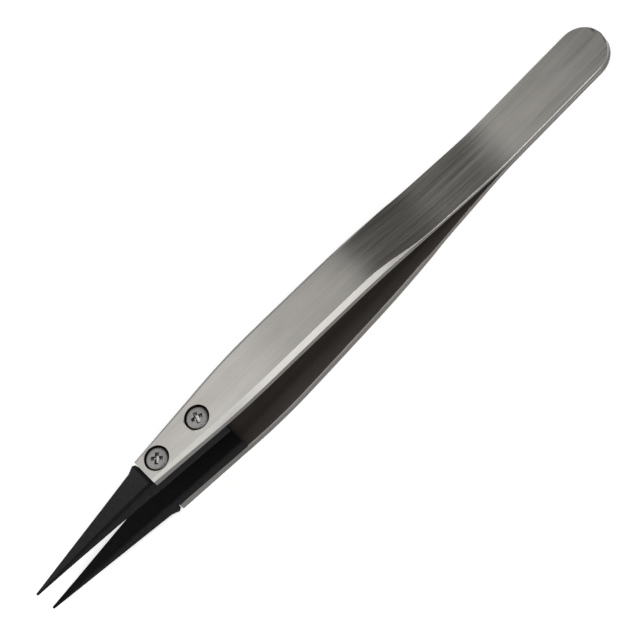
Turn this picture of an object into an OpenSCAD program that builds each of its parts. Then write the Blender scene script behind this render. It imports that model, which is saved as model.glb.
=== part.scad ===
// Precision tweezers with replaceable plastic tips.
// Lengths are in mm. The tips point along -X, the rounded heel along +X.
// The two arms mirror each other about a level plane half way up; the lower arm's grip lies on z = 0.

/* [Overall] */
// Length from the points of the tips to the rounded end
overall_length = 130; // [110:1:156]
// Gap between the points of the tips at rest
tip_opening = 6.6; // [5:0.1:8]
// Gap between the steel arms at the grip, where the tips are screwed on
arm_gap = 9.9; // [9:0.1:12]

/* [Arms] */
// Width of an arm from the grip to the rounded end
arm_width = 9.24; // [8:0.02:11.2]
// Width of an arm at its front edge
front_width = 5.3; // [5:0.1:6.4]
// Length behind the front edge over which an arm widens
taper_length = 21; // [17:0.5:26]
// Thickness of an arm at the grip
grip_thickness = 2.0; // [1.6:0.05:2.4]
// Thickness of an arm where it bends, and along the weld
spring_thickness = 0.82; // [0.7:0.01:1.05]
// Length at the rear over which the two arms are welded flat together
weld_length = 23.4; // [19.4:0.2:28.4]
// Gap between the arms at the knee, as a share of the gap at the grip
knee_share = 0.72; // [0.6:0.01:0.86]
// Width of the slanted edge at the widest part of the grip
bevel = 0.78; // [0.64:0.01:0.96]
// Width of the slanted edge at an arm's front edge
front_bevel = 0.42; // [0.3:0.01:0.5]
// Broken edge of the arms along the spring and the heel
edge_break = 0.1; // [0.05:0.01:0.15]

/* [Bends] */
// Place of the first, slight bend, from the front edge to the weld
grip_place = 0.307; // [0.265:0.001:0.36]
// Place of the knee, from the front edge to the weld
knee_place = 0.604; // [0.55:0.002:0.68]
// Start of the dished, thinning stretch, from the front edge to the weld
dish_start = 0.597; // [0.53:0.001:0.66]
// End of the dished, thinning stretch, from the front edge to the weld
dish_end = 0.788; // [0.74:0.002:0.88]
// Place where an arm starts to flex, ahead of the weld
hinge_share = 0.056; // [0.047:0.0005:0.067]
// Half length of the first bend
grip_blend_share = 0.088; // [0.06:0.002:0.11]
// Half length of the knee
knee_blend_share = 0.073; // [0.05:0.001:0.09]
// Half length of the bend at the weld
root_blend_share = 0.044; // [0.036:0.001:0.053]

/* [Tips] */
// Length of a tip in front of its steel arm
tip_length = 26.45; // [21.95:0.05:31.7]
// Width of a tip just in front of its shoulder, as a share of the arm's front edge
root_share = 0.86; // [0.72:0.01:0.95]
// Width of a tip's point
point_width = 0.44; // [0.3:0.02:0.54]
// Thickness of a tip's point
point_thickness = 0.25; // [0.18:0.01:0.35]
// Thickness of a tip half way to its shoulder
tip_mid_thickness = 1.95; // [1.6:0.05:2.3]
// Slanted long edges on the outside of a tip
tip_bevel = 0.5; // [0.4:0.01:0.6]
// Broken long edges on the inside of a tip
tip_inner_break = 0.2; // [0.1:0.01:0.24]
// Length of the pad that lies under the steel arm
pad_length = 14.7; // [14:0.1:17.5]
// Thickness of the pad at its rear end
pad_thickness = 2.4; // [2.1:0.05:2.9]
// How far a pad's sides stand back from the arm's sides
pad_inset = 0.08; // [0.02:0.01:0.1]
// Gap between a tip's shoulder and the front edge of the steel
shoulder_gap = 0.15; // [0.1:0.01:0.3]
// How far a tip's shoulder stands below the outer face of the steel
shoulder_drop = 0.15; // [0.05:0.01:0.3]
// How far a tip's shoulder stands inside the sides of the steel
shoulder_inset = 0.05; // [0:0.01:0.1]
// Flat length of a tip's shoulder
shoulder_land = 0.55; // [0.4:0.05:0.7]
// Length over which a tip flares out to its shoulder
flare_length = 1.35; // [0.9:0.05:2]
// Height of the flare at a tip's shoulder
flare_rise = 0.5; // [0.3:0.05:0.7]

/* [Screws] */
// Thread size of the screws
screw_d = 2.0; // [1.7:0.1:2.4]
// Diameter of a screw head
head_d = 4.0; // [3.4:0.1:4.2]
// How far the middle of a screw head stands below the outer face of the arm
head_sink = 0.04; // [0.02:0.01:0.2]
// Radius of the domed top of a screw head
head_dome_r = 12; // [9:0.5:16]
// Width of one slot of the cross recess
cross_w = 0.62; // [0.5:0.02:0.74]
// Length of one slot of the cross recess
cross_length = 2.3; // [1.9:0.1:2.6]
// Depth of the cross recess, as a share of the head's height
cross_share = 0.6; // [0.5:0.01:0.72]
// Distance from the steel's front edge to the front screw
front_screw_setback = 3.1; // [3:0.1:3.8]
// Distance between the two screws of a tip
screw_spacing = 9.3; // [7.8:0.1:9.8]
// Gap around a screw head in its recess
head_clearance = 0.22; // [0.1:0.01:0.24]
// Gap around a screw's thread in the steel
shank_clearance = 0.12; // [0.05:0.01:0.2]
// Steel left under a screw head, as a share of the arm's thickness
seat_share = 0.31; // [0.26:0.01:0.37]

/* [Inserts] */
// Outside diameter of a threaded insert
insert_d = 3.2; // [2.9:0.1:3.6]
// Height of a threaded insert, as a share of the pad's thickness
insert_share = 0.62; // [0.52:0.01:0.7]
// Depth of the groove around an insert
insert_groove = 0.15; // [0.1:0.01:0.2]
// Gap between the screw thread and the insert's bore
thread_clearance = 0.04; // [0.02:0.01:0.08]
// Gap around an insert in its pocket
insert_clearance = 0.02; // [0.01:0.01:0.05]

/* [Hidden] */
$fn = 96;
eps = 0.01;
// How far the cutting shapes run past what they cut
overrun = 2;
cutter_depth = 60;
cutter_reach = 160;
// Straight steps that follow each curve
grip_steps = 8;
knee_steps = 14;
root_steps = 6;
pad_steps = 6;

// Half sizes and heights above the middle plane
arm_half = arm_width / 2;
front_half = front_width / 2;
grip_height = arm_gap / 2;
knee_height = grip_height * knee_share;
mid_z = grip_height + grip_thickness;
point_height = tip_opening / 2;

// Stations along the length, measured from the points of the tips
front_s = tip_length + shoulder_gap;
weld_s = overall_length - weld_length;
arm_span = weld_s - front_s;
round_s = overall_length - arm_half;
root_blend = arm_span * root_blend_share;
root_s = weld_s - root_blend;
hinge_s = weld_s - arm_span * hinge_share;
knee_blend = arm_span * knee_blend_share;
knee_s = front_s + arm_span * knee_place;
grip_blend = arm_span * grip_blend_share;
grip_s = front_s + arm_span * grip_place;
thick_s = front_s + arm_span * dish_start;
thin_s = front_s + arm_span * dish_end;
taper_blend = taper_length / 3;
taper_s = front_s + taper_length;
full_bevel_s = taper_s - taper_blend;

// Slopes of the arm between its bends
root_slope = knee_height / (root_s - knee_s);
knee_slope = (grip_height - knee_height) / (knee_s - grip_s);
taper_slope = (arm_half - front_half) / taper_length;

// Tip and pad
shoulder_s = tip_length - shoulder_land;
flare_s = shoulder_s - flare_length;
pad_end_s = front_s + pad_length;
pad_inner = grip_height - pad_thickness;
shoulder_top = mid_z - shoulder_drop;
root_top = shoulder_top - flare_rise;
shoulder_half = front_half - shoulder_inset;

// Screws and inserts
screw_s = [front_s + front_screw_setback, front_s + front_screw_setback + screw_spacing];
screw_turn = [45, 18];
seat_z = grip_height + grip_thickness * seat_share;
head_h = mid_z - head_sink - seat_z;
cross_depth = head_h * cross_share;
recess_r = head_d / 2 + head_clearance;
shank_hole_r = screw_d / 2 + shank_clearance;
insert_h = pad_thickness * insert_share;
insert_margin = 0.1;
insert_bands = 3;
screw_end_z = grip_height - insert_h + insert_margin;
point_taper = 0.25;
insert_r = insert_d / 2;
pocket_floor_z = grip_height - insert_h - insert_margin;

function lerp(a, b, t) = a + (b - a) * t;
function clamp01(t) = min(1, max(0, t));
function smooth(t) = t * t * (3 - 2 * t);

// Distance in front of a bend, eased over the blend on either side of it
function before(s, bend, blend) =
    s >= bend + blend ? 0 :
    s <= bend - blend ? bend - s :
    pow(bend + blend - s, 2) / (4 * blend);

// Height of an arm's inner face above the middle plane
function inner_z(s) =
    root_slope * before(s, root_s, root_blend)
    - (root_slope - knee_slope) * before(s, knee_s, knee_blend)
    - knee_slope * before(s, grip_s, grip_blend);

function thickness(s) =
    lerp(spring_thickness, grip_thickness, smooth(clamp01((thin_s - s) / (thin_s - thick_s))));

function outer_z(s) = inner_z(s) + thickness(s);

function half_width(s) = arm_half - taper_slope * before(s, taper_s, taper_blend);

function bevel_at(s) =
    lerp(front_bevel, bevel, clamp01((s - front_s) / (full_bevel_s - front_s)));

// Sum of half width and height at the slanted edge: the full bevel, or a broken edge where
// the arm has been ground thinner than the bevel
function edge_sum(s) = half_width(s) +
    min(inner_z(s) + grip_thickness - bevel_at(s), outer_z(s) - edge_break);

// Height of a tip's inner face, a straight line from the point to the pad's rear end
function tip_inner_z(s) = lerp(point_height, pad_inner, s / pad_end_s);

function span(a, b, n) = [for (i = [0 : n]) lerp(a, b, i / n)];

arm_stations = concat(
    [front_s - overrun, front_s],
    span(full_bevel_s, grip_s + grip_blend, grip_steps),
    span(knee_s - knee_blend, thin_s, knee_steps),
    span(root_s - root_blend, weld_s, root_steps),
    [round_s, overall_length + overrun]);

// A flat strip of material below a line of points, thick enough to hold the whole part
module below(line) {
    first = line[0];
    last = line[len(line) - 1];
    polygon(concat(line, [[last[0], -cutter_depth], [first[0], -cutter_depth]]));
}

module across() {
    rotate([90, 0, 0])
        linear_extrude(height = 3 * arm_width, center = true)
            children();
}

module slanted(angle) {
    rotate([angle, 0, 0])
        linear_extrude(height = cutter_reach, center = true)
            children();
}

module arm_profile() {
    outer = [for (s = arm_stations) [s, outer_z(s)]];
    inner = [for (i = [len(arm_stations) - 1 : -1 : 0]) [arm_stations[i], inner_z(arm_stations[i])]];
    polygon(concat(outer, inner));
}

module arm_plan() {
    near = [for (s = arm_stations) if (s <= round_s) [max(s, front_s), -half_width(s)]];
    far = [for (p = [len(near) - 1 : -1 : 0]) [near[p][0], -near[p][1]]];
    polygon(concat(near, far));
    translate([round_s, 0])
        circle(r = arm_half);
}

module arm_edges() {
    line = [for (s = arm_stations) [s, edge_sum(s) / sqrt(2)]];
    slanted(45)
        below(line);
    mirror([0, 1, 0])
        slanted(45)
            below(line);
}

// One whole upper arm, from its front edge to the rounded end
module whole_arm() {
    difference() {
        intersection() {
            across()
                arm_profile();
            linear_extrude(height = 2 * mid_z)
                arm_plan();
            arm_edges();
        }
        for (s = screw_s)
            translate([s, 0, 0]) {
                cylinder(r = shank_hole_r, h = 2 * mid_z);
                translate([0, 0, seat_z])
                    cylinder(r = recess_r, h = mid_z);
            }
    }
}

module length_slab(from_s, to_s) {
    translate([from_s, -arm_width, -mid_z])
        cube([to_s - from_s, 2 * arm_width, 4 * mid_z]);
}

module arm_blade() {
    intersection() {
        whole_arm();
        length_slab(-eps, hinge_s);
    }
}

module arm_heel() {
    intersection() {
        whole_arm();
        length_slab(hinge_s, overall_length + overrun);
    }
}

// Tip: outside heights, half widths and slanted edges along the length
point_top = point_height + point_thickness;
mid_share = 0.5;
mid_bevel_share = 0.8;
point_bevel_share = 0.3;
break_share = 0.3;
mid_s = flare_s * mid_share;
mid_top = tip_inner_z(mid_s) + tip_mid_thickness;
point_half = point_width / 2;
root_half = front_half * root_share;
point_bevel = point_thickness * point_bevel_share;
mid_half = lerp(point_half, root_half, mid_share);

tip_stations = [0, mid_s, flare_s, shoulder_s, tip_length];
tip_tops = [point_top, mid_top, root_top, shoulder_top, shoulder_top];
tip_halves = [point_half, mid_half, root_half, shoulder_half, shoulder_half];
tip_bevels = [point_bevel, tip_bevel * mid_bevel_share, tip_bevel, tip_bevel, tip_bevel];

module tip_profile() {
    top = [for (i = [0 : 4]) [tip_stations[i], tip_tops[i]]];
    polygon(concat(top, [
        [tip_length, grip_height],
        [pad_end_s, grip_height],
        [pad_end_s, pad_inner],
        [0, point_height]]));
}

function pad_half(s) = half_width(s) - pad_inset;

pad_stations = concat([tip_length, front_s], span(front_s + overrun, pad_end_s, pad_steps));

module tip_plan() {
    front = [for (i = [0 : 3]) [tip_stations[i], tip_halves[i]]];
    rear = [for (s = pad_stations) [s, s < front_s ? shoulder_half : pad_half(s)]];
    far = concat(front, rear);
    near = [for (i = [len(far) - 1 : -1 : 0]) [far[i][0], -far[i][1]]];
    polygon(concat(far, near));
}

// Slanted long edges on the outside of a tip; the pad keeps its full section
pad_reach = (arm_half + mid_z) / sqrt(2);

module tip_outer_edges() {
    line = concat(
        [for (i = [0 : 4]) [tip_stations[i], (tip_halves[i] + tip_tops[i] - tip_bevels[i]) / sqrt(2)]],
        [[tip_length + eps, pad_reach], [pad_end_s + overrun, pad_reach]]);
    slanted(45)
        below(line);
    mirror([0, 1, 0])
        slanted(45)
            below(line);
}

function inner_edge(s, half, b) = [s, (half - tip_inner_z(s) - b) / sqrt(2)];

module tip_inner_edges() {
    front = [for (i = [0 : 3])
        inner_edge(tip_stations[i], tip_halves[i], min(tip_inner_break, tip_halves[i] * break_share))];
    rear = [for (s = concat(span(front_s, pad_end_s, pad_steps), [pad_end_s + overrun]))
        inner_edge(s, pad_half(s), tip_inner_break)];
    line = concat(front, rear);
    mirror([0, 0, 1]) {
        slanted(45)
            below(line);
        mirror([0, 1, 0])
            slanted(45)
                below(line);
    }
}

module tip_body() {
    difference() {
        intersection() {
            across()
                tip_profile();
            linear_extrude(height = 2 * mid_z)
                tip_plan();
            tip_outer_edges();
            tip_inner_edges();
        }
        for (s = screw_s)
            translate([s, 0, pocket_floor_z])
                cylinder(r = insert_r + insert_clearance, h = mid_z);
    }
}

// Cross-recess screw, seated on the steel under its head
module screw_body(turn) {
    dome_top = seat_z + head_h;
    difference() {
        union() {
            intersection() {
                translate([0, 0, seat_z])
                    cylinder(r = head_d / 2, h = head_h);
                translate([0, 0, dome_top - head_dome_r])
                    sphere(r = head_dome_r);
            }
            translate([0, 0, screw_end_z + point_taper])
                cylinder(r = screw_d / 2, h = seat_z - screw_end_z);
            translate([0, 0, screw_end_z])
                cylinder(r1 = screw_d / 2 - point_taper, r2 = screw_d / 2, h = point_taper);
        }
        translate([0, 0, dome_top - cross_depth])
            rotate([0, 0, turn])
                cross_recess();
    }
}

module cross_recess() {
    intersection() {
        union() {
            translate([-cross_length / 2, -cross_w / 2, 0])
                cube([cross_length, cross_w, 2 * cross_depth]);
            translate([-cross_w / 2, -cross_length / 2, 0])
                cube([cross_w, cross_length, 2 * cross_depth]);
        }
        cylinder(r1 = cross_w / 2, r2 = cross_length, h = 2 * cross_depth);
    }
}

// Threaded insert: two bands with a groove between them
module insert_body() {
    band = insert_h / insert_bands;
    translate([0, 0, grip_height - insert_h])
        rotate_extrude()
            polygon([
                [screw_d / 2 + thread_clearance, 0],
                [insert_r, 0],
                [insert_r, band],
                [insert_r - insert_groove, band],
                [insert_r - insert_groove, 2 * band],
                [insert_r, 2 * band],
                [insert_r, insert_h],
                [screw_d / 2 + thread_clearance, insert_h]]);
}

// Places a piece of the upper half, or its mirror image in the lower half
module upper() {
    translate([-overall_length / 2, 0, mid_z])
        children();
}

module lower() {
    translate([-overall_length / 2, 0, mid_z])
        mirror([0, 0, 1])
            children();
}

module upper_arm() {
    color("silver")
        upper()
            arm_blade();
}

module lower_arm() {
    color("silver")
        lower()
            arm_blade();
}

module upper_arm_heel() {
    color("lightgray")
        upper()
            arm_heel();
}

module lower_arm_heel() {
    color("lightgray")
        lower()
            arm_heel();
}

module upper_tip() {
    color([0.16, 0.16, 0.17])
        upper()
            tip_body();
}

module lower_tip() {
    color([0.16, 0.16, 0.17])
        lower()
            tip_body();
}

module upper_front_screw() {
    color("gray")
        upper()
            translate([screw_s[0], 0, 0])
                screw_body(screw_turn[0]);
}

module upper_rear_screw() {
    color("gray")
        upper()
            translate([screw_s[1], 0, 0])
                screw_body(screw_turn[1]);
}

module lower_front_screw() {
    color("gray")
        lower()
            translate([screw_s[0], 0, 0])
                screw_body(screw_turn[1]);
}

module lower_rear_screw() {
    color("gray")
        lower()
            translate([screw_s[1], 0, 0])
                screw_body(screw_turn[0]);
}

module upper_front_insert() {
    color("goldenrod")
        upper()
            translate([screw_s[0], 0, 0])
                insert_body();
}

module upper_rear_insert() {
    color("goldenrod")
        upper()
            translate([screw_s[1], 0, 0])
                insert_body();
}

module lower_front_insert() {
    color("goldenrod")
        lower()
            translate([screw_s[0], 0, 0])
                insert_body();
}

module lower_rear_insert() {
    color("goldenrod")
        lower()
            translate([screw_s[1], 0, 0])
                insert_body();
}

upper_arm();
lower_arm();
upper_arm_heel();
lower_arm_heel();
upper_tip();
lower_tip();
upper_front_screw();
upper_rear_screw();
lower_front_screw();
lower_rear_screw();
upper_front_insert();
upper_rear_insert();
lower_front_insert();
lower_rear_insert();
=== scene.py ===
"""Precision tweezers with screwed-on plastic tips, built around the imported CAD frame."""

import math

import bmesh
import bpy
from mathutils import Matrix, Vector

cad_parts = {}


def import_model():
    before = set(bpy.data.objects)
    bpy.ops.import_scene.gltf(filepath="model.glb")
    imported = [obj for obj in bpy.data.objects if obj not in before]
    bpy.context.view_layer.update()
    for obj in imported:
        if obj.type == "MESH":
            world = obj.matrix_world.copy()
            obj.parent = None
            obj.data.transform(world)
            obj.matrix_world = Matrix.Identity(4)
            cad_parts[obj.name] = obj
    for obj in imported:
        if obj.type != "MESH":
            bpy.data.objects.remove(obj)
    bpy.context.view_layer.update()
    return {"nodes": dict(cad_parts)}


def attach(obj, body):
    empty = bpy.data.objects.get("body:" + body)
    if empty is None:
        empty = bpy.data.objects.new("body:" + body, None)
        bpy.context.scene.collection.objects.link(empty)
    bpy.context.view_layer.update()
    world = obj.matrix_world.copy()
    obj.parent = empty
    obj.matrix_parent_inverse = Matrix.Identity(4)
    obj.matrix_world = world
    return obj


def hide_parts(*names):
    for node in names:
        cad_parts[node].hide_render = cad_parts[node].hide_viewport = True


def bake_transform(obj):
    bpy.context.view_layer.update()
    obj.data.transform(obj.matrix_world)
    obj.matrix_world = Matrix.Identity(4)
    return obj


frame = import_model()

MM = 0.001

# ---- sizes of the tool, in millimetres ----
# Places along the tool are measured from the points of the tips, heights from the middle plane,
# which is MID above the floor.
LENGTH = 130.0
ARM_HALF = 4.62
FRONT_HALF = 2.65
GRIP_HEIGHT = 4.95
GRIP_THICK = 2.0
SPRING_THICK = 0.82
MID = GRIP_HEIGHT + GRIP_THICK

# The arm's line, from its front end to the weld: each bend is eased over its own blend.
FRONT = 26.6
WELD = 106.6
SPAN = WELD - FRONT
ROUND = LENGTH - ARM_HALF
ROOT_BLEND = 0.044 * SPAN
ROOT = WELD - ROOT_BLEND
KNEE_BLEND = 0.073 * SPAN
KNEE = FRONT + 0.604 * SPAN
GRIP_BLEND = 0.088 * SPAN
GRIP = FRONT + 0.307 * SPAN
KNEE_HEIGHT = 0.72 * GRIP_HEIGHT
ROOT_SLOPE = KNEE_HEIGHT / (ROOT - KNEE)
KNEE_SLOPE = (GRIP_HEIGHT - KNEE_HEIGHT) / (KNEE - GRIP)
DISH_START = FRONT + 0.597 * SPAN
DISH_END = FRONT + 0.788 * SPAN
TAPER_LENGTH = 21.0
TAPER_BLEND = 7.0
TAPER = FRONT + TAPER_LENGTH
TAPER_SLOPE = (ARM_HALF - FRONT_HALF) / TAPER_LENGTH

# The arm's edges: the ground slant, the plain break where it has run out, and the inner break.
BEVEL = 0.78
FRONT_BEVEL = 0.42
EDGE_BREAK = 0.1
INNER_EDGE = 0.2
RUN_OUT = 0.8

# The tips and their pads.
TIP_LENGTH = 26.45
SHOULDER = 25.9
FLARE = 24.55
PAD_END = 41.3
POINT_HEIGHT = 3.3
PAD_INNER = 2.55
SHOULDER_TOP = MID - 0.15
SHOULDER_HALF = FRONT_HALF - 0.05
INNER_BREAK = 0.22

# The screws, and what is cut for them.
SCREWS = (29.7, 39.0)
SEAT = GRIP_HEIGHT + 0.62
HEAD_TOP = MID - 0.04
RECESS_R = 2.22
SHANK_HOLE_R = 1.12
BORE_R = 1.62
BORE_DEPTH = 1.6

# Working distances in metres: corners this close to a station belong to it, and corners this
# close to a level lie on it.
AT_STATION = 0.02 * MM
ON_LEVEL = 0.0002 * MM


# ---- the shape of an arm as functions of the place along it ----
def clamp01(t):
    return min(1.0, max(0.0, t))


def mix(a, b, t):
    return a + (b - a) * t


def before(s, bend, blend):
    """Distance in front of a bend, eased over the blend on either side of it."""
    if s >= bend + blend:
        return 0.0
    if s <= bend - blend:
        return bend - s
    return (bend + blend - s) ** 2 / (4 * blend)


def inner_height(s):
    """Height of the arm's inner face."""
    return (ROOT_SLOPE * before(s, ROOT, ROOT_BLEND)
            - (ROOT_SLOPE - KNEE_SLOPE) * before(s, KNEE, KNEE_BLEND)
            - KNEE_SLOPE * before(s, GRIP, GRIP_BLEND))


def strip_thickness(s):
    """Thick in the grip, ground thin over the spring zone."""
    t = clamp01((DISH_END - s) / (DISH_END - DISH_START))
    return mix(SPRING_THICK, GRIP_THICK, t * t * (3 - 2 * t))


def strip_half_width(s):
    """Narrow in front, full from the taper on, round at the rear end."""
    if s > ROUND:
        reach = min(s - ROUND, ARM_HALF)
        return math.sqrt(max(ARM_HALF ** 2 - reach ** 2, 0.0))
    return ARM_HALF - TAPER_SLOPE * before(s, TAPER, TAPER_BLEND)


def slanted_edge(s):
    """Size of the slanted edge: the ground bevel, run out where the strip is ground thin."""
    full = mix(FRONT_BEVEL, BEVEL, clamp01((s - FRONT) / (TAPER - TAPER_BLEND - FRONT)))
    return max(EDGE_BREAK, full - RUN_OUT * (GRIP_THICK - strip_thickness(s)))


def along(s):
    """A place along the tool as the frame's X, in metres."""
    return (s - LENGTH / 2) * MM


# ---- working by hand: one object active, faces and corners picked by place ----
def work_on(obj):
    if bpy.context.object and bpy.context.object.mode != "OBJECT":
        bpy.ops.object.mode_set(mode="OBJECT")
    bpy.ops.object.select_all(action="DESELECT")
    obj.select_set(True)
    bpy.context.view_layer.objects.active = obj


def edit(obj, mode="VERT"):
    work_on(obj)
    bpy.ops.object.mode_set(mode="EDIT")
    bpy.ops.mesh.select_mode(type=mode)
    bpy.ops.mesh.select_all(action="DESELECT")


def done(obj):
    bpy.ops.object.mode_set(mode="OBJECT")
    work_on(obj)


def pick(obj, wanted):
    """Selects the corners that wanted(place) accepts; the object is in edit mode."""
    mesh = bmesh.from_edit_mesh(obj.data)
    for v in mesh.verts:
        v.select = wanted(v.co)
    mesh.select_flush_mode()
    bmesh.update_edit_mesh(obj.data, loop_triangles=False, destructive=False)


def pick_faces(obj, wanted):
    """Selects the faces that wanted(middle, normal) accepts; the object is in edit mode."""
    mesh = bmesh.from_edit_mesh(obj.data)
    mesh.normal_update()
    for f in mesh.faces:
        f.select = False
    for f in mesh.faces:
        if wanted(f.calc_center_median(), f.normal):
            f.select = True
    mesh.select_flush_mode()
    bmesh.update_edit_mesh(obj.data, loop_triangles=False, destructive=False)


def block(name, low, high):
    """A box between two corners in millimetres of the frame, with its place put into its mesh."""
    bpy.ops.object.select_all(action="DESELECT")
    size = [(b - a) * MM for a, b in zip(low, high)]
    middle = [(a + b) / 2 * MM for a, b in zip(low, high)]
    bpy.ops.mesh.primitive_cube_add(size=1, location=middle, scale=size)
    obj = bpy.context.object
    obj.name = name
    obj.data.name = name
    bpy.ops.object.transform_apply(location=True, rotation=True, scale=True)
    return obj


def slice_at(obj, places, axis):
    """Cuts the whole mesh with flat planes square to an axis."""
    normal = tuple(1.0 if i == axis else 0.0 for i in range(3))
    for p in places:
        bpy.ops.mesh.select_all(action="SELECT")
        spot = tuple(p if i == axis else 0.0 for i in range(3))
        bpy.ops.mesh.bisect(plane_co=spot, plane_no=normal)


def shift(obj, wanted, by):
    pick(obj, wanted)
    bpy.ops.transform.translate(value=by)


def widen(obj, wanted, share, x):
    """Resizes the picked corners across the tool, about its middle line."""
    pick(obj, wanted)
    bpy.ops.transform.resize(value=(1, share, 1), center_override=(x, 0, 0))


def apply_all(obj):
    work_on(obj)
    for m in list(obj.modifiers):
        bpy.ops.object.modifier_apply(modifier=m.name)


def soften(obj, width, segments, angle, slot=-1):
    """Rounds every crease sharper than the angle, and shades the rest smooth."""
    m = obj.modifiers.new("edge_rounding", "BEVEL")
    m.material = slot
    m.width = width * MM
    m.segments = segments
    m.limit_method = "ANGLE"
    m.angle_limit = math.radians(angle)
    m.use_clamp_overlap = True
    m.miter_outer = "MITER_ARC"
    apply_all(obj)
    bpy.ops.object.shade_smooth_by_angle(angle=math.radians(25))


def even_shading(obj):
    """Lets the large faces set the shading where they meet small ones."""
    m = obj.modifiers.new("even_shading", "WEIGHTED_NORMAL")
    m.mode = "FACE_AREA"
    m.weight = 50
    m.keep_sharp = True
    apply_all(obj)


def cut_away(obj, tool):
    m = obj.modifiers.new("cut", "BOOLEAN")
    m.operation = "DIFFERENCE"
    m.solver = "EXACT"
    m.object = tool
    apply_all(obj)
    bpy.data.objects.remove(tool)


def drill(obj, s, radius, low, high, sides):
    """Cuts an upright round hole between two heights over the middle plane."""
    bpy.ops.object.select_all(action="DESELECT")
    bpy.ops.mesh.primitive_cylinder_add(
        vertices=sides, radius=radius * MM, depth=(high - low) * MM,
        location=(along(s), 0, (MID + (low + high) / 2) * MM))
    cut_away(obj, bpy.context.object)


def copy_of(obj, name):
    work_on(obj)
    bpy.ops.object.duplicate(linked=False)
    twin = bpy.context.object
    twin.name = name
    twin.data.name = name
    return twin


def turn_over(obj):
    """Mirrors a finished upper piece in the middle plane, to make the lower one."""
    edit(obj)
    bpy.ops.mesh.select_all(action="SELECT")
    bpy.ops.transform.resize(value=(1, 1, -1), center_override=(0, 0, MID * MM))
    bpy.ops.mesh.normals_make_consistent(inside=False)
    done(obj)


# ---- materials ----
def new_material(name):
    mat = bpy.data.materials.new(name)
    mat.use_nodes = True
    nodes = mat.node_tree.nodes
    shader = nodes.get("Principled BSDF")
    return mat, nodes, mat.node_tree.links, shader


def object_mapping(nodes, links, scale):
    where = nodes.new("ShaderNodeTexCoord")
    mapping = nodes.new("ShaderNodeMapping")
    mapping.inputs["Scale"].default_value = scale
    links.new(where.outputs["Object"], mapping.inputs["Vector"])
    return mapping.outputs["Vector"]


def noise(nodes, links, vector, scale, detail, rough=0.6):
    n = nodes.new("ShaderNodeTexNoise")
    n.inputs["Scale"].default_value = scale
    n.inputs["Detail"].default_value = detail
    n.inputs["Roughness"].default_value = rough
    links.new(vector, n.inputs["Vector"])
    return n.outputs["Fac"]


def spread(nodes, links, value, low, high, to_low, to_high):
    """Maps a 0-1 pattern onto a range of numbers."""
    r = nodes.new("ShaderNodeMapRange")
    r.inputs["From Min"].default_value = low
    r.inputs["From Max"].default_value = high
    r.inputs["To Min"].default_value = to_low
    r.inputs["To Max"].default_value = to_high
    links.new(value, r.inputs["Value"])
    return r.outputs["Result"]


def two_colours(nodes, links, value, first, second):
    m = nodes.new("ShaderNodeMix")
    m.data_type = "RGBA"
    m.inputs["A"].default_value = (*first, 1)
    m.inputs["B"].default_value = (*second, 1)
    links.new(value, m.inputs["Factor"])
    return m.outputs["Result"]


def relief(nodes, links, shader, height, strength, distance):
    b = nodes.new("ShaderNodeBump")
    b.inputs["Strength"].default_value = strength
    b.inputs["Distance"].default_value = distance
    links.new(height, b.inputs["Height"])
    links.new(b.outputs["Normal"], shader.inputs["Normal"])


def blend_painted_edge_light(nodes, links, tone, painted_edge_light):
    """Blends a tone towards a brighter one by the two long edges: painted light, where more light
    reaches in between the arms.
    """
    where = nodes.new("ShaderNodeTexCoord")
    parts = nodes.new("ShaderNodeSeparateXYZ")
    links.new(where.outputs["Object"], parts.inputs[0])
    away = nodes.new("ShaderNodeMath")
    away.operation = "ABSOLUTE"
    links.new(parts.outputs["Y"], away.inputs[0])
    m = nodes.new("ShaderNodeMix")
    m.data_type = "RGBA"
    m.inputs["B"].default_value = (*painted_edge_light, 1)
    links.new(tone, m.inputs["A"])
    edge = ARM_HALF * MM
    nearness = spread(nodes, links, away.outputs[0], 0.3 * edge, edge, 0.0, 1.0)
    links.new(nearness, m.inputs["Factor"])
    return m.outputs["Result"]


FACE_GRAIN = (45, 2700, 45)
EDGE_GRAIN = (60, 900, 900)


def brushed_steel(name, light, dark, roughness, grain, painted_edge_light=None):
    """Stainless steel with fine brushing along the tool and faint cloudy patches."""
    mat, nodes, links, shader = new_material(name)
    shader.inputs["Metallic"].default_value = 1.0
    lines = noise(nodes, links, object_mapping(nodes, links, grain), 1.0, 2)
    clouds = noise(nodes, links, object_mapping(nodes, links, (60, 220, 220)), 1.0, 3)
    blend = nodes.new("ShaderNodeMath")
    blend.operation = "MULTIPLY_ADD"
    blend.inputs[1].default_value = 0.7
    links.new(lines, blend.inputs[0])
    links.new(spread(nodes, links, clouds, 0.3, 0.7, 0.0, 0.3), blend.inputs[2])
    pattern = spread(nodes, links, blend.outputs[0], 0.25, 0.75, 0.0, 1.0)
    tone = two_colours(nodes, links, pattern, dark, light)
    if painted_edge_light:
        tone = blend_painted_edge_light(nodes, links, tone, painted_edge_light)
    links.new(tone, shader.inputs["Base Color"])
    links.new(spread(nodes, links, lines, 0.3, 0.7, *roughness), shader.inputs["Roughness"])
    relief(nodes, links, shader, lines, 0.5, 0.000002)
    return mat


def moulded_plastic(name, base, fleck, roughness, gloss):
    """Matt plastic filled with fine fibres: short flecks, and a slight moulded grain."""
    mat, nodes, links, shader = new_material(name)
    shader.inputs["Specular IOR Level"].default_value = gloss
    fibres = noise(nodes, links, object_mapping(nodes, links, (900, 5200, 5200)), 1.0, 2)
    grain = noise(nodes, links, object_mapping(nodes, links, (1, 1, 1)), 7000, 3)
    flecks = spread(nodes, links, fibres, 0.5, 0.75, 0.0, 1.0)
    links.new(two_colours(nodes, links, flecks, base, fleck), shader.inputs["Base Color"])
    links.new(spread(nodes, links, grain, 0.3, 0.7, *roughness), shader.inputs["Roughness"])
    relief(nodes, links, shader, grain, 0.3, 0.00002)
    return mat


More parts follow.
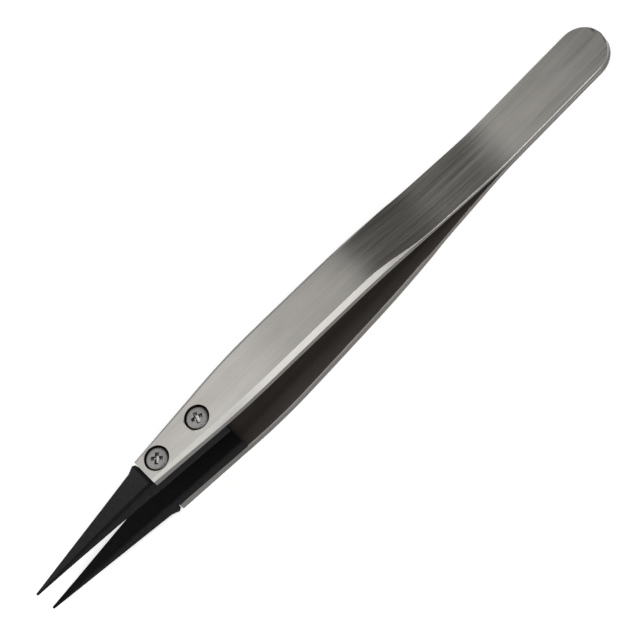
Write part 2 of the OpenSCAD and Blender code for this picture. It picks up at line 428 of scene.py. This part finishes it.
def turned_metal(name, light, dark, roughness):
    """Screw and insert metal: small scratches in every direction."""
    mat, nodes, links, shader = new_material(name)
    shader.inputs["Metallic"].default_value = 1.0
    wear = noise(nodes, links, object_mapping(nodes, links, (1, 1, 1)), 2600, 5)
    scratches = spread(nodes, links, wear, 0.35, 0.65, 0.0, 1.0)
    links.new(two_colours(nodes, links, scratches, dark, light), shader.inputs["Base Color"])
    links.new(spread(nodes, links, wear, 0.3, 0.7, *roughness), shader.inputs["Roughness"])
    relief(nodes, links, shader, wear, 0.2, 0.00003)
    return mat


face_steel = brushed_steel(
    "arm_face_brushed", (0.61, 0.592, 0.56), (0.455, 0.44, 0.412), (0.27, 0.36), FACE_GRAIN)
# Ground finish, and painted shade: the sides and ends of the arms get a far darker steel than the
# face.
edge_steel = brushed_steel(
    "arm_edge_ground_painted_shade", (0.165, 0.16, 0.153), (0.12, 0.116, 0.11), (0.28, 0.36), EDGE_GRAIN)
# Painted highlight: the near-side bevel, a lit copy of the ground edge steel.
near_bevel_highlight_steel = brushed_steel(
    "arm_near_bevel_painted_highlight", (0.55, 0.54, 0.52), (0.43, 0.42, 0.40), (0.28, 0.36), EDGE_GRAIN)
# Painted highlight: a lighter copy of the edge steel on the inner edge break, for a light line along
# it.
inner_edge_highlight_steel = brushed_steel(
    "arm_inner_edge_painted_highlight", (0.22, 0.213, 0.205), (0.17, 0.163, 0.157), (0.3, 0.4), EDGE_GRAIN)
# Painted shade: the far-side bevel, a near-black copy of the bevel steel.
far_bevel_shade_steel = brushed_steel(
    "arm_far_bevel_painted_shade", (0.045, 0.044, 0.042), (0.032, 0.031, 0.03), (0.28, 0.36), EDGE_GRAIN)
# Painted shade: the inner faces between the arms and the walls of the screw recesses, with painted
# light blended in towards the two long edges.
inside_shade_steel = brushed_steel(
    "arm_inside_painted_shade", (0.075, 0.065, 0.058), (0.04, 0.034, 0.03), (0.5, 0.62), FACE_GRAIN,
    painted_edge_light=(0.13, 0.115, 0.11))
tip_plastic = moulded_plastic(
    "tip_filled_plastic", (0.012, 0.012, 0.0135), (0.022, 0.022, 0.025), (0.5, 0.66), 0.2)
# Matt, and painted shade: the tip's sides and rear end get a darker copy of the plastic.
tip_sides = moulded_plastic(
    "tip_sides_matt_painted_shade", (0.007, 0.007, 0.008), (0.014, 0.014, 0.016), (0.6, 0.75), 0.05)
# Painted highlight: a lighter, glossier plastic on the tip's rounded edges.
tip_edges = moulded_plastic(
    "tip_edges_painted_highlight", (0.02, 0.02, 0.0225), (0.034, 0.034, 0.038), (0.45, 0.6), 0.25)
# Painted shade: the tip's inner face, darker than the outside.
tip_inside = moulded_plastic(
    "tip_inside_painted_shade", (0.003, 0.003, 0.0035), (0.007, 0.007, 0.008), (0.5, 0.65), 0.08)
screw_metal = turned_metal(
    "screw_steel", (0.37, 0.363, 0.354), (0.25, 0.246, 0.24), (0.25, 0.38))
# Painted shade: the walls of the cross recess and the head's rim.
recess_shade_metal = turned_metal(
    "screw_recess_painted_shade", (0.2, 0.197, 0.19), (0.1, 0.1, 0.095), (0.25, 0.4))
# Painted glint: a bright copy of the screw metal on the floor of the cross recess.
glint_metal = turned_metal(
    "screw_recess_floor_painted_glint", (0.85, 0.84, 0.82), (0.6, 0.595, 0.58), (0.3, 0.45))
insert_brass = turned_metal(
    "insert_brass", (0.72, 0.55, 0.28), (0.55, 0.4, 0.18), (0.3, 0.45))


def give(obj, *materials):
    obj.data.materials.clear()
    for m in materials:
        obj.data.materials.append(m)


def paint_faces(obj, index, wanted):
    """Gives the picked faces the material in that slot."""
    edit(obj, "FACE")
    pick_faces(obj, wanted)
    obj.active_material_index = index
    bpy.ops.object.material_slot_assign()
    done(obj)


# ---- a steel arm, shaped from one flat blank ----
def arm_stations():
    """Even steps to the weld, a few over the flat rear, and closer ones round the end."""
    steps = 47
    places = [mix(FRONT, WELD, i / steps) for i in range(steps + 1)]
    places += [108.4, 110.6, 114.0, 119.0, ROUND]
    for degrees in range(8, 90, 8):
        places.append(ROUND + ARM_HALF * math.sin(math.radians(degrees)))
    return places


# Material slots after the brushed face, which is slot 0.
ARM_EDGE, ARM_INSIDE, ARM_INNER_HIGHLIGHT, ARM_FAR_SHADE, ARM_NEAR_HIGHLIGHT = range(1, 6)
BLANK_THICK = 1.0


def steel_arm(name):
    """A blank cut into stations, each then moved to its height, thickness and width."""
    obj = block(name, (FRONT - LENGTH / 2, -ARM_HALF, MID), (LENGTH / 2, ARM_HALF, MID + BLANK_THICK))
    bevel_row = 0.8 * ARM_HALF
    inner_row = 0.4 * ARM_HALF
    outer_from = 0.9 * ARM_HALF * MM
    least_half = 0.001
    edit(obj)
    stations = arm_stations()
    slice_at(obj, [along(s) for s in stations[1:]], 0)
    slice_at(obj, [y * MM for y in (-bevel_row, -inner_row, 0, inner_row, bevel_row)], 1)
    blank_top = (MID + BLANK_THICK) * MM - ON_LEVEL
    blank_bottom = MID * MM + ON_LEVEL
    for s in stations + [LENGTH]:
        x = along(s)
        half = strip_half_width(s)
        edge = min(slanted_edge(s), 0.3 * half)
        low = inner_height(s)
        high = low + strip_thickness(s)

        def here(co):
            return abs(co.x - x) < AT_STATION

        def outer(co):
            return here(co) and abs(co.y) > outer_from

        def row(place):
            return lambda co: here(co) and abs(abs(co.y) - place * MM) < ON_LEVEL

        shift(obj, lambda co: outer(co) and co.z > blank_top, (0, 0, (high - edge - BLANK_THICK) * MM))
        shift(obj, lambda co: here(co) and abs(co.y) < outer_from and co.z > blank_top,
              (0, 0, (high - BLANK_THICK) * MM))
        shift(obj, lambda co: here(co) and co.z < blank_bottom, (0, 0, low * MM))
        widen(obj, outer, max(half, least_half) / ARM_HALF, x)
        widen(obj, row(bevel_row), max(half - edge, 0.8 * least_half) / bevel_row, x)
        widen(obj, row(inner_row), max(half, least_half) / ARM_HALF, x)
    bpy.ops.mesh.select_all(action="SELECT")
    bpy.ops.mesh.remove_doubles(threshold=0.004 * MM)
    bpy.ops.mesh.normals_make_consistent(inside=False)
    close = 0.03 * MM

    def inner_rim(co):
        s = co.x / MM + LENGTH / 2
        return (abs(co.z - (MID + inner_height(s)) * MM) < close
                and abs(co.y) > strip_half_width(s) * MM - close)

    pick(obj, inner_rim)
    bpy.ops.mesh.bevel(offset=INNER_EDGE * MM, segments=1, affect="EDGES")
    done(obj)
    for s in SCREWS:
        drill(obj, s, RECESS_R, SEAT, MID + 1, 72)
        drill(obj, s, SHANK_HOLE_R, 0, MID, 72)
    soften(obj, 0.07, 2, 22)
    give(obj, face_steel, edge_steel, inside_shade_steel, inner_edge_highlight_steel, far_bevel_shade_steel, near_bevel_highlight_steel)
    # Painted shade on the sides, ends, far bevel and inner faces; painted highlight on the near bevel
    # and the inner edge break.
    paint_faces(obj, ARM_EDGE, lambda mid, n: abs(n.y) > 0.3 or abs(n.x) > 0.6)
    paint_faces(obj, ARM_FAR_SHADE, lambda mid, n: n.y > 0.3 and n.z > 0.3)
    paint_faces(obj, ARM_NEAR_HIGHLIGHT, lambda mid, n: n.y < -0.3 and n.z > 0.3)
    paint_faces(obj, ARM_INSIDE, lambda mid, n: n.z < -0.9)
    paint_faces(obj, ARM_INNER_HIGHLIGHT, lambda mid, n: -0.9 <= n.z < -0.3)
    # Painted shade on the walls of the screw recesses.
    recess_wall = (RECESS_R + 0.08) * MM
    below_face = (2 * MID - 0.1) * MM
    for s in SCREWS:
        centre = along(s)
        paint_faces(obj, ARM_INSIDE, lambda mid, n: mid.z < below_face
                    and math.hypot(mid.x - centre, mid.y) < recess_wall)
    return obj


upper_steel = steel_arm("upper_steel_arm")
lower_steel = copy_of(upper_steel, "lower_steel_arm")
turn_over(lower_steel)
for arm, side in ((upper_steel, "upper"), (lower_steel, "lower")):
    even_shading(arm)
    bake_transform(arm)
    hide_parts(f"{side}_arm", f"{side}_arm_heel")


# ---- a moulded tip with its pad ----
# Material slots after the tip's outside, which is slot 0.
TIP_INSIDE, TIP_SIDE, TIP_EDGE_HIGHLIGHT = range(1, 4)
POINT_HALF = 0.22
ROOT_HALF = 0.86 * FRONT_HALF
PAD_PLAY = 0.08
PARKED = 0.02


def tip_inner(s):
    """Height of the tip's inner face, straight from the point to the end of the pad."""
    return mix(POINT_HEIGHT, PAD_INNER, s / PAD_END)


def tip_outline(middle):
    """Place, half width, top and top edge of each station from the point to the shoulder."""
    tops = {0.0: POINT_HEIGHT + 0.25, middle: tip_inner(middle) + 1.95, FLARE: SHOULDER_TOP - 0.5}
    outline = []
    for s in (0.0, 0.5 * middle, middle, 1.5 * middle, FLARE):
        first, last = (0.0, middle) if s < middle else (middle, FLARE)
        half = mix(POINT_HALF, ROOT_HALF, s / FLARE)
        top = mix(tops[first], tops[last], (s - first) / (last - first))
        outline.append((s, half, top, mix(0.08, 0.5, clamp01(s / middle * 0.8))))
    outline.append((SHOULDER, SHOULDER_HALF, SHOULDER_TOP, 0.5))
    outline.append((TIP_LENGTH, SHOULDER_HALF - 0.15, SHOULDER_TOP - 0.45, 0.5))
    return outline


def plastic_tip(name):
    """A stack of flat layers, 1 mm apart and 2 mm wide, with its stations moved into shape.

    Once placed, a layer's corners are parked high above, so that the next layer's pick misses
    them, and the whole station comes back down together.
    """
    base = MID + 2.0
    obj = block(name, (-LENGTH / 2, -1, base), (PAD_END - LENGTH / 2, 1, base + 1))
    edit(obj)
    middle = FLARE / 2
    pad_places = [FRONT + 0.2, 30.0, 33.0, 36.0, 38.6]
    tip_places = [middle * 0.5, middle, middle * 1.5, FLARE, SHOULDER, TIP_LENGTH]
    slice_at(obj, [along(s) for s in tip_places + pad_places], 0)
    slice_at(obj, [0.0], 1)
    bpy.ops.mesh.select_mode(type="FACE")
    pick_faces(obj, lambda mid, n: n.z < -0.9)
    bpy.ops.mesh.extrude_region_move(TRANSFORM_OT_translate={"value": (0, 0, -1 * MM)})
    level = (base + 1) * MM
    for step in (1, 2):
        bpy.ops.mesh.select_mode(type="FACE")
        pick_faces(obj, lambda mid, n: n.z > 0.9 and mid.x < along(TIP_LENGTH)
                   and mid.z > level + (step - 1.5) * MM)
        bpy.ops.mesh.extrude_region_move(TRANSFORM_OT_translate={"value": (0, 0, 1 * MM)})
    bpy.ops.mesh.select_mode(type="VERT")

    def place_station(s, layers):
        x = along(s)

        def here(co):
            return abs(co.x - x) < AT_STATION

        for z, height, width in layers:
            widen(obj, lambda co: here(co) and abs(co.z - z * MM) < ON_LEVEL, width, x)
            bpy.ops.transform.translate(value=(0, 0, (MID + height - z) * MM + PARKED))
        shift(obj, lambda co: here(co) and co.z > 0.75 * PARKED, (0, 0, -PARKED))

    for s, half, top, edge in tip_outline(middle):
        cut = min(INNER_BREAK, half * 0.4)
        waist = mix(tip_inner(s), top - edge, 0.5) if s < TIP_LENGTH else GRIP_HEIGHT
        place_station(s, ((base - 1, tip_inner(s), half - cut), (base, tip_inner(s) + cut, half),
                          (base + 1, waist, half), (base + 2, top - edge, half),
                          (base + 3, top, half - edge)))
    for s in pad_places + [PAD_END]:
        half = strip_half_width(s) - PAD_PLAY
        place_station(s, ((base - 1, tip_inner(s), half - INNER_BREAK),
                          (base, tip_inner(s) + INNER_BREAK, half), (base + 1, GRIP_HEIGHT, half)))
    bpy.ops.mesh.select_all(action="SELECT")
    bpy.ops.mesh.normals_make_consistent(inside=False)
    done(obj)
    for s in SCREWS:
        drill(obj, s, BORE_R, GRIP_HEIGHT - BORE_DEPTH, GRIP_HEIGHT + BORE_DEPTH, 48)
    give(obj, tip_plastic, tip_inside, tip_sides, tip_edges)
    # Painted shade on the inner face and on the sides.
    paint_faces(obj, TIP_INSIDE, lambda mid, n: n.z < -0.8)
    paint_faces(obj, TIP_SIDE, lambda mid, n: abs(n.y) > 0.4 or n.x > 0.7)
    # The rounded edges get the painted highlight.
    soften(obj, 0.12, 3, 22, TIP_EDGE_HIGHLIGHT)
    # Painted shade on the pad's rear end too.
    paint_faces(obj, TIP_SIDE, lambda mid, n: n.x > 0.2 and mid.x > along(PAD_END - 0.2))
    return obj


upper_point = plastic_tip("upper_plastic_tip")
lower_point = copy_of(upper_point, "lower_plastic_tip")
turn_over(lower_point)
for piece, side in ((upper_point, "upper"), (lower_point, "lower")):
    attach(piece, f"{side}_jaw")
    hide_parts(f"{side}_tip")


# ---- a cross-recess screw ----
# Material slots after the head's own metal, which is slot 0.
SCREW_SHADE, SCREW_PAINTED_GLINT = range(1, 3)
HEAD_R = 2.0
HEAD_RIM_R = 1.83
HEAD_DOME_R = 12.0
HEAD_HEIGHT = HEAD_TOP - SEAT
THREAD_R = 1.0
BLADE_LENGTH = 2.84
BLADE_WIDTH = 0.72
BLADE_DEPTH = 0.58


def domed(r):
    """Height of the head's dome at a distance from the axis."""
    return HEAD_HEIGHT - (HEAD_DOME_R - math.sqrt(HEAD_DOME_R ** 2 - r ** 2))


def extrude_to(rise, share):
    """Carries the picked cap on by a rise, and resizes it about the axis."""
    bpy.ops.mesh.extrude_region_move(TRANSFORM_OT_translate={"value": (0, 0, rise * MM)})
    bpy.ops.transform.resize(value=(share, share, 1), center_override=(0, 0, 0))


def cap_picker(height):
    return lambda mid, n: n.z > 0.9 and abs(mid.z - height) < 0.02 * MM


def turn_about_axis(degrees):
    bpy.ops.transform.rotate(value=math.radians(degrees), orient_axis="Z", center_override=(0, 0, 0))


def recess_blade(degrees):
    """One of the two tapered blades that cut the cross recess."""
    blade = block("blade", (-BLADE_LENGTH / 2, -BLADE_WIDTH / 2, HEAD_HEIGHT - BLADE_DEPTH),
                  (BLADE_LENGTH / 2, BLADE_WIDTH / 2, HEAD_HEIGHT + 0.4))
    edit(blade)
    pick(blade, lambda co: co.z < (HEAD_HEIGHT - BLADE_DEPTH + 0.08) * MM)
    bpy.ops.transform.resize(value=(0.45, 0.8, 1), center_override=(0, 0, 0))
    bpy.ops.mesh.select_all(action="SELECT")
    turn_about_axis(degrees)
    bpy.ops.mesh.normals_make_consistent(inside=False)
    done(blade)
    return blade


def cross_screw(name):
    """Stands on the origin of its own axis; the seat under the head is at z = 0."""
    side = domed(HEAD_RIM_R) - 0.2
    bpy.ops.object.select_all(action="DESELECT")
    bpy.ops.mesh.primitive_cylinder_add(vertices=72, radius=HEAD_R * MM, depth=side * MM,
                                        location=(0, 0, side / 2 * MM))
    obj = bpy.context.object
    obj.name = name
    obj.data.name = name
    bpy.ops.object.transform_apply(location=True, rotation=True, scale=True)
    edit(obj, "FACE")
    # the head: a rounded rim, then the dome
    level, ring = side, HEAD_R
    profile = [(1.98, side + 0.09), (1.92, side + 0.16)]
    profile += [(r, domed(r)) for r in (HEAD_RIM_R, 1.7, 1.45, 1.15, 0.8, 0.45, 0.15)]
    for r, top in profile:
        rise = top - level
        pick_faces(obj, cap_picker(level * MM))
        extrude_to(rise, r / ring)
        level, ring = level + rise, r
    # the shank: a plain neck, then rounded thread ridges down to a short lead-in
    pick_faces(obj, lambda mid, n: n.z < -0.9)
    extrude_to(0, THREAD_R / HEAD_R)
    ring = THREAD_R
    ridges = [(0.14, 1.0), (0.06, 1.0), (0.14, 0.84), (0.06, 0.84)] * 3
    for drop, r in [(0.62, 1.0), (0.06, 0.86)] + ridges + [(0.12, 0.98), (0.16, 0.72)]:
        extrude_to(-drop, r / ring)
        ring = r
    done(obj)
    for degrees in (0, 90):
        cut_away(obj, recess_blade(degrees))
    soften(obj, 0.05, 2, 28)
    give(obj, screw_metal, recess_shade_metal, glint_metal)

    def in_recess(mid, radius, depth):
        return (math.hypot(mid.x, mid.y) < radius * MM
                and (HEAD_HEIGHT - 0.9) * MM < mid.z < (HEAD_HEIGHT - depth) * MM)

    # Painted shade in the cross recess, and a painted glint on its floor.
    paint_faces(obj, SCREW_SHADE, lambda mid, n: in_recess(mid, 1.45, 0.13))
    paint_faces(obj, SCREW_PAINTED_GLINT, lambda mid, n: n.z > 0.9 and in_recess(mid, 0.6, 0.45))
    # Painted shade on the head's rim.
    rim = (HEAD_RIM_R + 0.03) * MM
    paint_faces(obj, SCREW_SHADE, lambda mid, n: math.hypot(mid.x, mid.y) > rim and mid.z > 0.01 * MM)
    return obj


def fit_screw(master, name, s, degrees, side):
    """A copy of the screw, turned as it was left when driven home, in its place on an arm."""
    screw = copy_of(master, name)
    edit(screw)
    bpy.ops.mesh.select_all(action="SELECT")
    turn_about_axis(degrees)
    bpy.ops.transform.translate(value=(along(s), 0, (MID + SEAT) * MM))
    done(screw)
    if side == "lower":
        turn_over(screw)
    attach(screw, f"{side}_jaw")
    return screw


master_screw = cross_screw("screw_master")
for side, place, s, degrees in (("upper", "front", SCREWS[0], 45), ("upper", "rear", SCREWS[1], 18),
                                ("lower", "front", SCREWS[0], 18), ("lower", "rear", SCREWS[1], 45)):
    piece = fit_screw(master_screw, f"{side}_{place}_cross_screw", s, degrees, side)
    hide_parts(f"{side}_{place}_screw")
bpy.data.objects.remove(master_screw)

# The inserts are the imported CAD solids, buried in the pads, given their metal here.
for name, obj in frame["nodes"].items():
    if name.endswith("_insert"):
        for i in range(len(obj.material_slots)):
            obj.material_slots[i].material = insert_brass
        if not obj.material_slots:
            obj.data.materials.append(insert_brass)


# ---- floor, light and camera ----
def pale_floor():
    bpy.ops.object.select_all(action="DESELECT")
    just_below = -0.00002
    bpy.ops.mesh.primitive_plane_add(size=6.0, location=(0, 0, just_below))
    floor = bpy.context.object
    floor.name = "floor"
    mat, nodes, links, shader = new_material("floor_paper")
    shader.inputs["Base Color"].default_value = (0.93, 0.93, 0.93, 1)
    shader.inputs["Roughness"].default_value = 0.9
    shader.inputs["Emission Color"].default_value = (1, 1, 1, 1)
    shader.inputs["Emission Strength"].default_value = 0.45
    floor.data.materials.append(mat)


def soft_light(name, place, size, power, aim=(0, 0, 0.005)):
    data = bpy.data.lights.new(name, "AREA")
    data.shape = "RECTANGLE"
    data.size, data.size_y = size
    data.energy = power
    lamp = bpy.data.objects.new(name, data)
    bpy.context.scene.collection.objects.link(lamp)
    lamp.location = place
    lamp.rotation_euler = (Vector(aim) - Vector(place)).to_track_quat("-Z", "Y").to_euler()
    return lamp


pale_floor()
soft_light("top_softbox", (-0.14, 0.21, 0.37), (0.40, 0.30), 0.38, aim=(-0.14, 0, 0.005))
soft_light("front_softbox", (0.085, -0.95, 0.55), (0.11, 0.7), 0.8)
soft_light("front_left_softbox", (-0.16, -0.95, 0.55), (0.38, 0.7), 0.6)
soft_light("left_card", (-0.75, 0.42, 0.14), (0.5, 0.25), 2.5)
soft_light("overhead_wash", (0.0, -0.6, 1.1), (1.0, 0.8), 9.0)


def studio_world():
    """A dim warm room overhead, with pale walls low down all round."""
    world = bpy.data.worlds.new("studio")
    world.use_nodes = True
    nodes, links = world.node_tree.nodes, world.node_tree.links
    room = nodes["Background"]
    room.inputs["Color"].default_value = (1, 0.95, 0.88, 1)
    where = nodes.new("ShaderNodeTexCoord")
    parts = nodes.new("ShaderNodeSeparateXYZ")
    links.new(where.outputs["Generated"], parts.inputs[0])
    walls, overhead = 0.7, 0.05
    glow = spread(nodes, links, parts.outputs["Z"], 0.30, 0.42, walls, overhead)
    links.new(glow, room.inputs["Strength"])
    bpy.context.scene.world = world


studio_world()
bpy.context.scene.view_settings.view_transform = "Standard"


def set_camera():
    """A long lens over the upper arm's near side, rolled so that the tool lies corner to corner."""
    roll = math.radians(45.5)
    distance, view_width, sensor = 1.1, 0.10466, 36.0
    middle_of_view, sideways = 64.35, 0.00022
    towards = Vector((0.0, -0.495, 0.869)).normalized()
    lengthwise = Vector((1, 0, 0))
    lengthwise = (lengthwise - lengthwise.dot(towards) * towards).normalized()
    crosswise = towards.cross(lengthwise)
    right = math.cos(roll) * lengthwise - math.sin(roll) * crosswise
    up = math.sin(roll) * lengthwise + math.cos(roll) * crosswise
    target = Vector((along(middle_of_view), 0, MID * MM)) + crosswise * sideways
    data = bpy.data.cameras.new("camera")
    data.sensor_width = sensor
    data.lens = sensor * distance / view_width
    data.clip_start = 0.01
    data.clip_end = 50
    cam = bpy.data.objects.new("camera", data)
    bpy.context.scene.collection.objects.link(cam)
    spot = target + towards * distance
    cam.matrix_world = Matrix((
        (right.x, up.x, towards.x, spot.x),
        (right.y, up.y, towards.y, spot.y),
        (right.z, up.z, towards.z, spot.z),
        (0, 0, 0, 1)))
    bpy.context.scene.camera = cam


set_camera()
